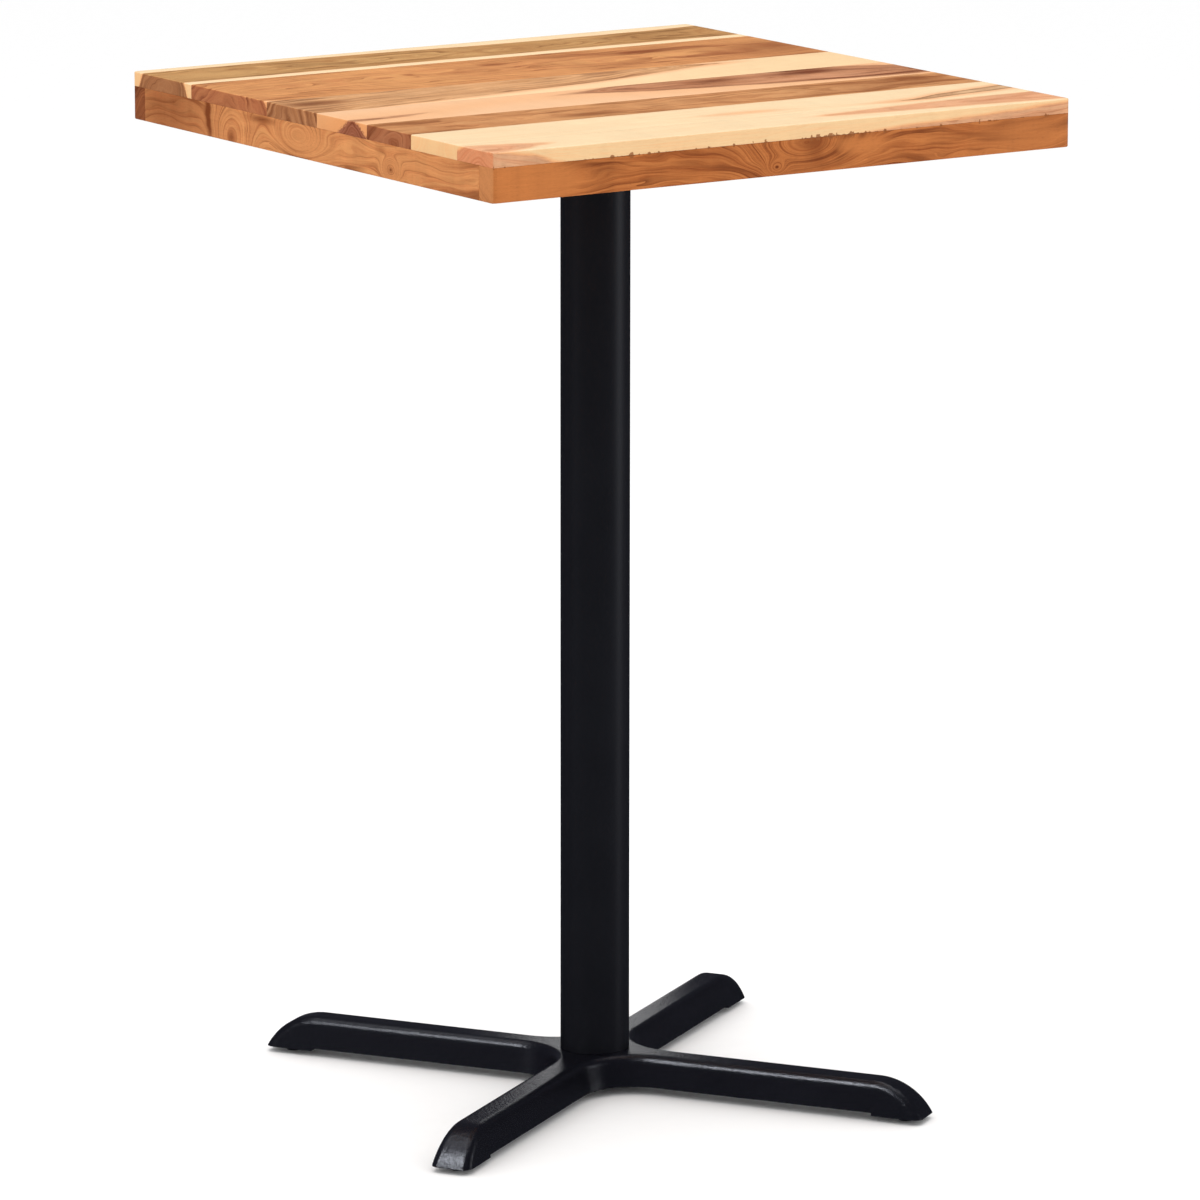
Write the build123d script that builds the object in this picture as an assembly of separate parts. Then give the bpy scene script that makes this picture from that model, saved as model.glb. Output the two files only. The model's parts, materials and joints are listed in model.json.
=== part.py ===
from build123d import *

import os
from math import sqrt

# Bar-height bistro table: a square stave top on a frame of rails, one round column, and a cast
# cross-shaped base that stands on four levelling glides.
# Units are millimetres. The origin is on the floor under the column, +Z is up, the staves run
# along X, and the front edge of the top faces -Y.

# ---- whole table ----
TABLE_HEIGHT = 1070.0
TOP_SIDE = 700.0
TOP_CORNER_R = 5.0
TOP_ARRIS_R = 1.5

# ---- wooden top ----
STAVE_WIDTHS = (121.0, 152.0, 98.0, 96.0, 83.0, 85.0, 65.0)  # from the back edge to the front edge
STAVE_THICKNESS = 15.0
RAIL_WIDTH = 25.0
RAIL_HEIGHT = 35.0
BATTEN_WIDTH = 80.0
BATTEN_CENTRE_X = 95.0

# ---- steel plate under the top ----
PLATE_SIDE = 300.0
PLATE_THICKNESS = 5.0
PLATE_CORNER_R = 20.0
SCREW_ROWS_Y = (-120.0, -45.0, 45.0, 120.0)
SCREW_SHANK_R = 2.5
SCREW_HEAD_R = 4.8
SCREW_HEAD_DEPTH = 3.0
SCREW_LENGTH = 32.0
SCREW_TIP = 5.0
SCREW_TIP_R = 0.3

# ---- column ----
COLUMN_R = 36.5
COLUMN_WALL = 2.0
CENTRING_GAP = 0.2
RING_WALL = 4.0
RING_HEIGHT = 12.0

# ---- tie rod, M12 ----
ROD_R = 6.0
ROD_HOLE_R = 6.5
ROD_END_CHAMFER = 1.0
NUT_ACROSS_FLATS = 19.0
NUT_HEIGHT = 10.0
NUT_CORNER_CHAMFER = 1.2
WASHER_R = 20.0
WASHER_THICKNESS = 3.0
ROD_SPARE_TOP = 3.0
ROD_SPARE_BOTTOM = 2.0

# ---- cast base ----
ARM_AXIS_ANGLE = 33.5  # of the right-back arm, counted from +X
ARM_REACH = 378.0
BASE_TOP_Z = 42.0
PAD_BOTTOM_Z = 6.0
PAD_DEPTH = 3.0
PAD_LENGTH = 55.0
ARM_BOTTOM_HALF = 22.5
ARM_DRAFT = 8.5
HUB_FILLET_R = 57.0
TOE_ARC_R = 64.0
ARM_EDGE_R = 10.0
ARM_OVERRUN = 40.0  # drawn past the toe's tip, then cut away by the toe's arc
TOE_CUTTER_SIDE = 200.0
CASTING_WALL = 6.5
CASTING_ROOF = 8.0
CAVITY_REACH = 308.0
HUB_BOSS_R = 30.0
HUB_BOSS_BOTTOM_Z = 24.0
HUB_OVERLAP = 1.0  # how far the boss and the spigot reach into the roof of the casting
SPIGOT_HEIGHT = 8.0
SPIGOT_CHAMFER = 1.5

# ---- levelling glides, M8 ----
GLIDE_INSET = 24.0  # from the toe's tip to the glide's axis
STUD_R = 4.0
STUD_RUNNING_GAP = 0.05
STUD_HOLE_DEPTH = 22.0
STUD_ENGAGED = 20.0
STUD_END_CHAMFER = 0.8
COLLAR_ACROSS_FLATS = 13.0
COLLAR_TOP_GAP = 0.2
FOOT_R = 8.0
FOOT_HEIGHT = 3.0
FOOT_EDGE_R = 1.4
NECK_R = 2.0
NECK_BUTTON_R = 3.0
NECK_BUTTON_BOTTOM_Z = 0.95
NECK_BUTTON_HEIGHT = 0.8
FOOT_FLOAT = 0.05

EDGE_TOLERANCE = 0.01  # when edges and corners are picked by their place

# ---- heights worked out from the above ----
STAVE_BOTTOM_Z = TABLE_HEIGHT - STAVE_THICKNESS
RAIL_BOTTOM_Z = STAVE_BOTTOM_Z - RAIL_HEIGHT
PLATE_BOTTOM_Z = RAIL_BOTTOM_Z - PLATE_THICKNESS
COLUMN_INNER_R = COLUMN_R - COLUMN_WALL
HALF_TOP = TOP_SIDE / 2
INNER_HALF = HALF_TOP - RAIL_WIDTH

GLIDE_REACH = ARM_REACH - GLIDE_INSET
ARM_NAMES = ("right_back", "left_back", "left_front", "right_front")


# ---- small helpers ----
def lifted(shape, low_z):
    """Lift a shape that was drawn at z = 0 to the height low_z."""
    return Pos(0, 0, low_z) * shape


def rod_solid(radius, low_z, high_z):
    """A plain round solid on the Z axis between two heights."""
    length = high_z - low_z
    return lifted(extrude(Circle(radius), length), low_z)


def tube_solid(outer_r, inner_r, low_z, high_z):
    """A round tube on the Z axis between two heights."""
    return rod_solid(outer_r, low_z, high_z) - rod_solid(inner_r, low_z, high_z)


def cone_solid(low_r, high_r, low_z, high_z):
    """A round taper on the Z axis between two heights."""
    height = high_z - low_z
    return lifted(Cone(low_r, high_r, height), low_z + height / 2)


def hexagon_solid(across_flats, low_z, high_z):
    """A hexagonal prism on the Z axis with its corners turned off at both ends."""
    height = high_z - low_z
    corner_r = across_flats / sqrt(3)
    prism = extrude(RegularPolygon(corner_r, 6), height)
    blank = extrude(Circle(corner_r), height)
    turned = chamfer(blank.edges(), NUT_CORNER_CHAMFER / 2, NUT_CORNER_CHAMFER)
    return lifted(prism & turned, low_z)


def to_arm(shape, number):
    """Turn a shape drawn on the local +X axis onto one of the four arms."""
    return Rot(0, 0, ARM_AXIS_ANGLE + 90 * number) * shape


# ---- wooden top ----
def stave_layer():
    """The whole upper layer, with rounded corners and an eased top edge."""
    outline = RectangleRounded(TOP_SIDE, TOP_SIDE, TOP_CORNER_R)
    slab = extrude(outline, STAVE_THICKNESS)
    top_edges = slab.faces().sort_by(Axis.Z)[-1].edges()
    return lifted(fillet(top_edges, TOP_ARRIS_R), STAVE_BOTTOM_Z)


def stave(number):
    """One stave of the upper layer, counted from the back."""
    back_y = HALF_TOP - sum(STAVE_WIDTHS[:number])
    width = STAVE_WIDTHS[number]
    slot = Pos(0, back_y - width / 2, TABLE_HEIGHT) * Box(2 * TOP_SIDE, width, 4 * STAVE_THICKNESS)
    return stave_layer() & slot


def rail_layer():
    """The frame of rails under the staves, as one ring with an eased bottom edge."""
    outline = RectangleRounded(TOP_SIDE, TOP_SIDE, TOP_CORNER_R)
    slab = extrude(outline, RAIL_HEIGHT)
    slab = fillet(slab.faces().sort_by(Axis.Z)[0].edges(), TOP_ARRIS_R)
    opening = extrude(Rectangle(2 * INNER_HALF, 2 * INNER_HALF), RAIL_HEIGHT)
    return lifted(slab - opening, RAIL_BOTTOM_Z)


def long_rail(side):
    """The front (-1) or back (+1) rail, which runs the full length of the edge."""
    centre_y = side * (HALF_TOP - RAIL_WIDTH / 2)
    slot = Pos(0, centre_y, RAIL_BOTTOM_Z) * Box(2 * TOP_SIDE, RAIL_WIDTH, 4 * RAIL_HEIGHT)
    return rail_layer() & slot


def short_rail(side):
    """The left (-1) or right (+1) rail, which fits between the long rails."""
    centre_x = side * (HALF_TOP - RAIL_WIDTH / 2)
    slot = Pos(centre_x, 0, RAIL_BOTTOM_Z) * Box(RAIL_WIDTH, 2 * INNER_HALF, 4 * RAIL_HEIGHT)
    return rail_layer() & slot


def screw_places(side):
    """Where the plate's screws stand on one side of the column."""
    return [Pos(side * BATTEN_CENTRE_X, y) for y in SCREW_ROWS_Y]


def batten(side):
    """A cross batten under the staves, drilled for the plate's screws."""
    bar = extrude(Rectangle(BATTEN_WIDTH, 2 * INNER_HALF), RAIL_HEIGHT)
    bar = Pos(side * BATTEN_CENTRE_X, 0, RAIL_BOTTOM_Z) * bar
    for place in screw_places(side):
        bar -= place * rod_solid(SCREW_SHANK_R, RAIL_BOTTOM_Z, PLATE_BOTTOM_Z + SCREW_LENGTH)
    return bar


# ---- steel plate, its ring and its screws ----
def screw():
    """A countersunk wood screw that points up, with its head flush in the plate's underside."""
    neck_z = PLATE_BOTTOM_Z + SCREW_HEAD_DEPTH
    end_z = PLATE_BOTTOM_Z + SCREW_LENGTH
    taper_z = end_z - SCREW_TIP
    head = cone_solid(SCREW_HEAD_R, SCREW_SHANK_R, PLATE_BOTTOM_Z, neck_z)
    shank = rod_solid(SCREW_SHANK_R, neck_z, taper_z)
    tip = cone_solid(SCREW_SHANK_R, SCREW_TIP_R, taper_z, end_z)
    return head + shank + tip


def plate_screws():
    """All the plate's screws, as separate solids of one node."""
    places = screw_places(-1) + screw_places(1)
    return Compound(children=[place * screw() for place in places])


def mounting_plate():
    """The plate that carries the top: screw holes in two rows and the tie rod's hole."""
    outline = RectangleRounded(PLATE_SIDE, PLATE_SIDE, PLATE_CORNER_R)
    plate = lifted(extrude(outline, PLATE_THICKNESS), PLATE_BOTTOM_Z)
    plate -= rod_solid(ROD_HOLE_R, PLATE_BOTTOM_Z, RAIL_BOTTOM_Z)
    for place in screw_places(-1) + screw_places(1):
        plate -= place * screw()
    return plate


def centring_ring():
    """The ring welded under the plate, which centres the column's top end."""
    outer_r = COLUMN_INNER_R - CENTRING_GAP
    return tube_solid(outer_r, outer_r - RING_WALL, PLATE_BOTTOM_Z - RING_HEIGHT, PLATE_BOTTOM_Z)


# ---- column and tie rod ----
def column_tube():
    """The round column between the base's hub and the plate."""
    return tube_solid(COLUMN_R, COLUMN_INNER_R, BASE_TOP_Z, PLATE_BOTTOM_Z)


def tie_rod():
    """The long threaded rod, drawn plain, that clamps plate, column and base together."""
    low_z = HUB_BOSS_BOTTOM_Z - WASHER_THICKNESS - NUT_HEIGHT - ROD_SPARE_BOTTOM
    high_z = RAIL_BOTTOM_Z + WASHER_THICKNESS + NUT_HEIGHT + ROD_SPARE_TOP
    rod = rod_solid(ROD_R, low_z, high_z)
    return chamfer(rod.edges().filter_by(GeomType.CIRCLE), ROD_END_CHAMFER)


def washer(low_z):
    """A wide flat washer on the tie rod."""
    return tube_solid(WASHER_R, ROD_HOLE_R, low_z, low_z + WASHER_THICKNESS)


def nut(low_z):
    """A hexagon nut on the tie rod."""
    high_z = low_z + NUT_HEIGHT
    return hexagon_solid(NUT_ACROSS_FLATS, low_z, high_z) - rod_solid(ROD_R, low_z, high_z)


# ---- cast base ----
def cross_outline(half_width, fillet_r, reach):
    """A cross of two bars with round inner corners."""
    cross = Rectangle(2 * reach, 2 * half_width) + Rectangle(2 * half_width, 2 * reach)
    corner_limit = half_width + EDGE_TOLERANCE
    inner = [v for v in cross.vertices() if max(abs(v.X), abs(v.Y)) < corner_limit]
    return fillet(inner, fillet_r)


def toe_cutter():
    """What lies outside one toe's quarter-round end, on the local +X arm."""
    start = toe_start()
    side = TOE_CUTTER_SIDE
    block = Pos(start + side / 2, 0, 0) * Box(side, side, side)
    arc_centre = Pos(start, 0, BASE_TOP_Z - TOE_ARC_R)
    barrel = arc_centre * Rot(90, 0, 0) * Cylinder(TOE_ARC_R, 2 * side)
    return block - barrel


def toe_start():
    """Distance from the axis at which the toe's arc leaves the flat top of the arm."""
    drop = BASE_TOP_Z - PAD_BOTTOM_Z
    return ARM_REACH - sqrt(TOE_ARC_R**2 - (TOE_ARC_R - drop) ** 2)


def casting_body():
    """The outside of the base: drafted arms, hub fillets, toes and sole pads."""
    height = BASE_TOP_Z - PAD_BOTTOM_Z
    outline = cross_outline(ARM_BOTTOM_HALF, HUB_FILLET_R, ARM_REACH + ARM_OVERRUN)
    body = lifted(extrude(outline, height, taper=ARM_DRAFT), PAD_BOTTOM_Z)
    for number in range(4):
        body -= Rot(0, 0, 90 * number) * toe_cutter()
    upper = [e for e in body.edges() if e.center().Z > BASE_TOP_Z - EDGE_TOLERANCE]
    toe_sides = [e for e in body.edges() if is_toe_side(e)]
    body = fillet(upper_outline(upper) + toe_sides, ARM_EDGE_R)
    step = 2 * (ARM_REACH - PAD_LENGTH)
    relief = Pos(0, 0, PAD_BOTTOM_Z) * Box(step, step, 2 * PAD_DEPTH)
    return body - relief


def upper_outline(edges):
    """The edges of the flat top face, without the lines where a toe's arc begins."""
    limit = toe_start() - EDGE_TOLERANCE
    return [e for e in edges if max(abs(e.center().X), abs(e.center().Y)) <= limit]


def is_toe_side(edge):
    """Whether an edge runs down the side of a toe's rounded end."""
    reach = max(abs(edge.center().X), abs(edge.center().Y))
    full_drop = BASE_TOP_Z - PAD_BOTTOM_Z - EDGE_TOLERANCE
    drops = edge.bounding_box().size.Z > full_drop
    return drops and toe_start() < reach < ARM_REACH


def casting_cavity():
    """The hollow under the arms and hub."""
    half_width = ARM_BOTTOM_HALF - CASTING_WALL
    outline = cross_outline(half_width, HUB_FILLET_R + CASTING_WALL, CAVITY_REACH)
    height = BASE_TOP_Z - CASTING_ROOF - PAD_BOTTOM_Z
    return lifted(extrude(outline, height, taper=ARM_DRAFT / 2), PAD_BOTTOM_Z)


def base_casting():
    """The cast base with its hub boss, column spigot, tie rod hole and glide holes."""
    spigot_top_z = BASE_TOP_Z + SPIGOT_HEIGHT
    base = casting_body() - casting_cavity()
    inside_roof_z = BASE_TOP_Z - HUB_OVERLAP
    base += rod_solid(HUB_BOSS_R, HUB_BOSS_BOTTOM_Z, inside_roof_z)
    spigot = rod_solid(COLUMN_INNER_R - CENTRING_GAP, inside_roof_z, spigot_top_z)
    base += chamfer(spigot.edges().sort_by(Axis.Z)[-1], SPIGOT_CHAMFER)
    base -= rod_solid(ROD_HOLE_R, 0, spigot_top_z)
    hole_top_z = PAD_BOTTOM_Z + STUD_HOLE_DEPTH
    glide_hole = rod_solid(STUD_R + STUD_RUNNING_GAP, PAD_BOTTOM_Z, hole_top_z)
    for number in range(4):
        base -= Rot(0, 0, 90 * number) * Pos(GLIDE_REACH, 0) * glide_hole
    return Rot(0, 0, ARM_AXIS_ANGLE) * base


# ---- levelling glides ----
def glide_foot(number):
    """A flat round foot with a pocket that captures the stud's button."""
    foot = rod_solid(FOOT_R, 0, FOOT_HEIGHT)
    foot = fillet(foot.edges().sort_by(Axis.Z)[0], FOOT_EDGE_R)
    button_top_z = NECK_BUTTON_BOTTOM_Z + NECK_BUTTON_HEIGHT
    pocket_low_z = NECK_BUTTON_BOTTOM_Z - FOOT_FLOAT
    pocket_high_z = button_top_z + FOOT_FLOAT
    foot -= rod_solid(NECK_BUTTON_R + STUD_RUNNING_GAP, pocket_low_z, pocket_high_z)
    foot -= rod_solid(NECK_R + STUD_RUNNING_GAP, button_top_z, FOOT_HEIGHT)
    return to_arm(Pos(GLIDE_REACH, 0) * foot, number)


def glide_stud(number):
    """A threaded stud, drawn plain, with a hexagon collar and a button that turns in the foot."""
    button_top_z = NECK_BUTTON_BOTTOM_Z + NECK_BUTTON_HEIGHT
    collar_low_z = FOOT_HEIGHT + FOOT_FLOAT
    collar_high_z = PAD_BOTTOM_Z - COLLAR_TOP_GAP
    shank = rod_solid(STUD_R, collar_high_z, PAD_BOTTOM_Z + STUD_ENGAGED)
    stud = chamfer(shank.edges().sort_by(Axis.Z)[-1], STUD_END_CHAMFER)
    stud += hexagon_solid(COLLAR_ACROSS_FLATS, collar_low_z, collar_high_z)
    stud += rod_solid(NECK_R, NECK_BUTTON_BOTTOM_Z, collar_low_z)
    stud += rod_solid(NECK_BUTTON_R, NECK_BUTTON_BOTTOM_Z, button_top_z)
    return to_arm(Pos(GLIDE_REACH, 0) * stud, number)


# ---- every node of the table ----
def all_nodes():
    """Node name to shape."""
    nodes = {f"top_stave_{n + 1}": stave(n) for n in range(len(STAVE_WIDTHS))}
    nodes["rail_front"] = long_rail(-1)
    nodes["rail_back"] = long_rail(1)
    nodes["rail_left"] = short_rail(-1)
    nodes["rail_right"] = short_rail(1)
    nodes["batten_left"] = batten(-1)
    nodes["batten_right"] = batten(1)
    nodes["mounting_plate"] = mounting_plate()
    nodes["plate_screws"] = plate_screws()
    nodes["centring_ring"] = centring_ring()
    nodes["column_tube"] = column_tube()
    nodes["tie_rod"] = tie_rod()
    nodes["tie_rod_washer_top"] = washer(RAIL_BOTTOM_Z)
    nodes["tie_rod_nut_top"] = nut(RAIL_BOTTOM_Z + WASHER_THICKNESS)
    nodes["tie_rod_washer_bottom"] = washer(HUB_BOSS_BOTTOM_Z - WASHER_THICKNESS)
    nodes["tie_rod_nut_bottom"] = nut(HUB_BOSS_BOTTOM_Z - WASHER_THICKNESS - NUT_HEIGHT)
    nodes["base_casting"] = base_casting()
    for number, arm in enumerate(ARM_NAMES):
        nodes[f"glide_foot_{arm}"] = glide_foot(number)
        nodes[f"glide_stud_{arm}"] = glide_stud(number)
    return nodes


os.makedirs("parts", exist_ok=True)
for node_name, node_shape in all_nodes().items():
    export_step(node_shape, f"parts/{node_name}.step")
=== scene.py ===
"""Looks for the bar-height bistro table: fine boards, fine metal pieces and their materials.

Lengths named *_MM and everything inside the shaders are in millimetres, all other lengths are
in metres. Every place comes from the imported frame.
"""

import json
import math
import random

import bmesh
import bpy
from mathutils import Matrix, Vector, noise

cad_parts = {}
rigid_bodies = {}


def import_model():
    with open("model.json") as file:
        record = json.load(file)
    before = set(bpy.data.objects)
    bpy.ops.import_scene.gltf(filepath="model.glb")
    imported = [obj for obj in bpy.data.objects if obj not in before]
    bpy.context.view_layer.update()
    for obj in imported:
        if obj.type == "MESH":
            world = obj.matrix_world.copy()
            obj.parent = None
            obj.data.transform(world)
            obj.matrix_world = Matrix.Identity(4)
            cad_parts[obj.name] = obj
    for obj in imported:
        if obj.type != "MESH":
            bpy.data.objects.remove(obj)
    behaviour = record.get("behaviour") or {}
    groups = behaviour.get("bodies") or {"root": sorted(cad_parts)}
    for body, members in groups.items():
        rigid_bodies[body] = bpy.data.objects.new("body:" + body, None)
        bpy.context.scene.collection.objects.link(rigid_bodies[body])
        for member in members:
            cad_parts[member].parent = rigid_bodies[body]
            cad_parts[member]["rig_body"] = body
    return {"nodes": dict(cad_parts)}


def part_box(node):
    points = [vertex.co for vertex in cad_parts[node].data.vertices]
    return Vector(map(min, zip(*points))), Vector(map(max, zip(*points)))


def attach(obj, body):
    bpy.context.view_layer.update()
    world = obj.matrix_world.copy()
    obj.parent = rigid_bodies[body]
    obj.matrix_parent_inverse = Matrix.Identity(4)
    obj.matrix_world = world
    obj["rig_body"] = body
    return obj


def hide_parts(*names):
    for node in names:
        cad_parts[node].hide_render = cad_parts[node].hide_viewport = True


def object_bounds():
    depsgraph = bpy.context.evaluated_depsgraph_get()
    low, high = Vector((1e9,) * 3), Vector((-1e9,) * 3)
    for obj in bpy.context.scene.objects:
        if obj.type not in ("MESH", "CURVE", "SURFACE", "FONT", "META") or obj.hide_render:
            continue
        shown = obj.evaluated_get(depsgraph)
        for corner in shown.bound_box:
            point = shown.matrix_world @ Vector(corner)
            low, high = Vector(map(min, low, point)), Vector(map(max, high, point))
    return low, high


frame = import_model()
cad_low, cad_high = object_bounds()

MM = 0.001
STAVES = sorted(name for name in frame["nodes"] if name.startswith("top_stave_"))
CHIPPED_NODES = (STAVES[-1], "rail_front")  # the two boards that meet at the front glue line
ARMS = ("right_back", "left_back", "left_front", "right_front")

# ---- light and colour ----
TOP_LIGHT = 1.36  # how bright a white surface that faces up is rendered, against display white
GLOSS_VEIL = 0.012  # what the top's own shine adds to every colour channel
WORLD_DIFFUSE = 1.05  # the world's strength where it lights a surface
WORLD_GLOSSY = 0.055  # its strength in reflections, so that black pieces stay black
WORLD_GLOSSY_TINT = (0.88, 0.92, 1.2, 1.0)
COOL_SHINE = (0.86, 0.90, 1.0, 1.0)

# ---- boards ----
OUTER_CORNER_R = 5.0 * MM
ARRIS_R = 1.5 * MM
JOINT_ARRIS_R = 0.35 * MM
ARC_STEPS = 5
BOARD_STEP = 3.0 * MM
CHIPPED_STEP = 1.0 * MM
SECTION_STEP = 9.0 * MM
CHIPPED_SECTION_COUNT = 24
CHIP_REACH = 2.2 * MM  # how far the dents reach from the glue line
CHIP_DEPTH = 0.5 * MM
CHIP_COLOR_REACH_MM = 3.4
CHIP_ZONES = ((-178, 46, 0.6), (68, 50, 1.0), (240, 25, 0.3))  # x, reach and strength, in mm

# ---- metal ----
ROUND_STEPS = 128
THREAD_STEPS = 32
TUBE_WALL = 2.0 * MM
TUBE_EDGE_R = 0.4 * MM
ROD_PITCH = 1.75 * MM
ROD_MINOR_SHARE = 0.85
ROD_THREAD_LENGTH = 70.0 * MM
STUD_PITCH = 1.25 * MM
STUD_MAJOR_R = 4.0 * MM
STUD_MINOR_R = 3.4 * MM
COLLAR_ACROSS_FLATS = 13.0 * MM
COLLAR_BOTTOM = 3.05 * MM  # above the foot's sole, as is the next height
COLLAR_TOP = 5.8 * MM
HEXAGON_CHAMFER = 0.6 * MM
HEXAGON_STEPS = 48
NECK_R = 2.0 * MM
BUTTON_R = 3.0 * MM
BUTTON_HEIGHT = 0.8 * MM
POCKET_GAP = 0.1 * MM  # between the stud's neck and button and the foot that holds them
SCREW_PITCH = 2.4 * MM
SCREW_MAJOR_R = 2.5 * MM
SCREW_SHANK_R = 1.9 * MM
SCREW_HEAD_R = 4.7 * MM
SCREW_HEAD_DEPTH = 3.0 * MM
SCREW_POINT = 4.0 * MM
RECESS_DEPTH = 1.9 * MM
RECESS_HALF_WIDTH = 0.62 * MM
RECESS_REACH = 2.6 * MM
JOIN_OVERLAP = 0.2 * MM  # how far a piece's separate shells reach into each other
CASTING_EDGE_R = 0.9 * MM
PLATE_EDGE_R = 0.5 * MM
HARDWARE_EDGE_R = 0.3 * MM
SHARP_ANGLE = math.radians(32)

# ---- camera, at the viewing angle of a person in front of the left corner ----
CAMERA_TARGET = Vector((-0.025, 0.017, 0.518))
CAMERA_DISTANCE = 7.864
CAMERA_AZIMUTH = math.radians(33.14)
CAMERA_PITCH = math.radians(11.89)
CAMERA_LENS = 224.8
CAMERA_SHIFT = (0.0281, 0.0056)


# ========================================
# Node graphs
# ========================================
def linear(channel):
    """One sRGB channel from 0 to 255 as a linear share."""
    share = channel / 255
    return share / 12.92 if share <= 0.04045 else ((share + 0.055) / 1.055) ** 2.4


def tint(name, veil=0.0, light=1.0):
    """An sRGB colour such as "#fbe4b9" as a base colour under that much light."""
    red, green, blue = (int(name[i : i + 2], 16) for i in (1, 3, 5))
    return tuple(max(0.001, linear(c) - veil) / light for c in (red, green, blue)) + (1.0,)


def shade(name):
    """An sRGB colour as it looks on the lit top, as a base colour."""
    return tint(name, GLOSS_VEIL, TOP_LIGHT)


class Graph:
    """Short calls for building one material's nodes. A value is a socket or a plain number."""

    def __init__(self, name):
        self.material = bpy.data.materials.new(name)
        self.material.use_nodes = True
        self.tree = self.material.node_tree
        self.surface = self.tree.nodes["Principled BSDF"]

    def put(self, value, socket):
        if isinstance(value, bpy.types.NodeSocket):
            self.tree.links.new(value, socket)
        else:
            socket.default_value = value

    def node(self, kind, inputs, **settings):
        made = self.tree.nodes.new(kind)
        for key, value in settings.items():
            setattr(made, key, value)
        for key, value in inputs.items():
            self.put(value, made.inputs[key])
        return made

    def math(self, operation, *values, clamp=False):
        inputs = dict(enumerate(values))
        made = self.node("ShaderNodeMath", inputs, operation=operation, use_clamp=clamp)
        return made.outputs[0]

    def add(self, *values):
        total = values[0]
        for value in values[1:]:
            total = self.math("ADD", total, value)
        return total

    def times(self, a, b):
        return self.math("MULTIPLY", a, b)

    def smooth(self, value, low, high):
        """0 below low and 1 above high, with a soft step between."""
        inputs = {"Value": value, "From Min": low, "From Max": high}
        kind = "ShaderNodeMapRange"
        return self.node(kind, inputs, interpolation_type="SMOOTHSTEP").outputs[0]

    def between(self, value, low, high):
        """The value, which runs from 0 to 1, spread from low to high."""
        inputs = {"Value": value, "To Min": low, "To Max": high}
        return self.node("ShaderNodeMapRange", inputs).outputs[0]

    def vector(self, x, y, z):
        return self.node("ShaderNodeCombineXYZ", {"X": x, "Y": y, "Z": z}).outputs[0]

    def noise(self, vector, scale, detail=3.0, roughness=0.55, output="Fac"):
        inputs = {"Vector": vector, "Scale": scale, "Detail": detail, "Roughness": roughness}
        return self.node("ShaderNodeTexNoise", inputs).outputs[output]

    def mix(self, factor, a, b, blend="MIX"):
        made = self.node("ShaderNodeMix", {}, data_type="RGBA", blend_type=blend)
        self.put(factor, made.inputs["Factor"])
        self.put(a, made.inputs["A"])
        self.put(b, made.inputs["B"])
        return made.outputs["Result"]

    def curve(self, value, points, low, high):
        """A soft curve through (value, result) points, over the board's length."""
        results = [result for _, result in points]
        floor, span = min(results) - 1, max(results) - min(results) + 2
        made = self.node("ShaderNodeFloatCurve", {})
        line = made.mapping.curves[0]
        places = [((x - low) / (high - low), (y - floor) / span) for x, y in points]
        line.points[0].location = places[0]
        line.points[-1].location = places[-1]
        for place in places[1:-1]:
            line.points.new(*place)
        made.mapping.update()
        share = self.node("ShaderNodeMapRange", {"Value": value, "From Min": low, "From Max": high})
        self.put(share.outputs[0], made.inputs["Value"])
        return self.add(self.times(made.outputs[0], span), floor)

    def place_mm(self):
        """The point's place on the resting table in millimetres, as three sockets."""
        place = self.tree.nodes.new("ShaderNodeTexCoord").outputs["Object"]
        scaled = self.node(
            "ShaderNodeVectorMath", {0: place, 1: (1000.0,) * 3}, operation="MULTIPLY"
        )
        parts = self.node("ShaderNodeSeparateXYZ", {0: scaled.outputs[0]})
        return scaled.outputs[0], parts.outputs

    def bump(self, height, distance_mm, strength=1.0, normal=None):
        inputs = {"Height": height, "Distance": distance_mm * MM, "Strength": strength}
        if normal is not None:
            inputs["Normal"] = normal
        return self.node("ShaderNodeBump", inputs).outputs[0]

    def finish(self, color, roughness, normal=None, **others):
        self.put(color, self.surface.inputs["Base Color"])
        self.put(roughness, self.surface.inputs["Roughness"])
        if normal is not None:
            self.put(normal, self.surface.inputs["Normal"])
        for key, value in others.items():
            self.put(value, self.surface.inputs[key.replace("_", " ")])
        return self.material


# ========================================
# Wood
# ========================================
CREAM = shade("#fadfb4")
WARM_CREAM = shade("#fad9a9")
LIGHT_PEACH = shade("#f8c79b")
PEACH = shade("#f8bf8e")
OLIVE = (shade("#8c5a32"), shade("#d8a86e"), shade("#c08a56"))
ORANGE = (shade("#9c5834"), shade("#e6a468"), shade("#d6905c"))
RED_BROWN = (shade("#98582f"), shade("#dea06a"), shade("#cc8a58"))
TAN = (shade("#98603c"), shade("#eab482"), shade("#daa06c"))
FLAME = (shade("#84492e"), shade("#dc9e76"), shade("#bc7c52"))
PINK_FLAME = (shade("#c07e56"), shade("#f4bc90"), shade("#eeac80"))
OUTLINED = (shade("#8f5e38"), shade("#f6cb9c"), shade("#f2c092"))
RAIL_ORANGE = (shade("#924e2b"), shade("#f4a768"), shade("#e08d56"))
RAIL_RED = (shade("#78391a"), shade("#da864a"), shade("#b66636"))
BATTEN = (shade("#a07048"), shade("#cfa070"), shade("#b98858"))

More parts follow.
